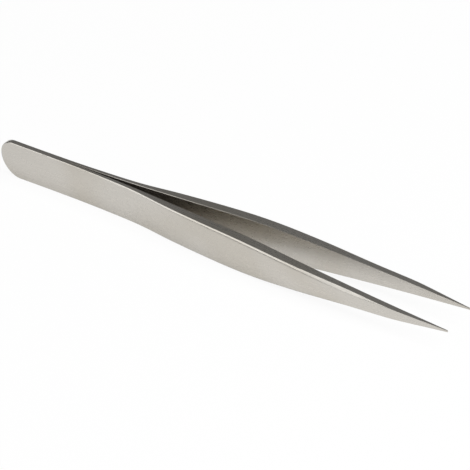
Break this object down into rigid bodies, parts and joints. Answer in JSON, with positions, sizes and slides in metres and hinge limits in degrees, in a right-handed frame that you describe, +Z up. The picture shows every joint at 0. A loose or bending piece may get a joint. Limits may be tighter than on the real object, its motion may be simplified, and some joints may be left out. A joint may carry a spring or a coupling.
{
  "type": "fine point tweezers",
  "caption": "Fine point tweezers: slim ground steel arms joined face to face at a flat round heel, bowed at the grip and tapering to sharp points.",
  "frame": {"origin": "centre of the bounding box's base: midway between heel and points, on the centre plane between the arms, on the table that the lower edges lie on", "axes": "+X runs along the lower edges from the heel towards the points, +Y across the gap from the right arm to the left arm, +Z up"},
  "size_m": [0.12, 0.0102, 0.0095],
  "materials": {
    "ground_steel": "fine satin, ground edges"
  },
  "bodies": {
    "root": {"left_arm": "ground_steel", "right_arm": "ground_steel"}
  },
  "joints": []
}
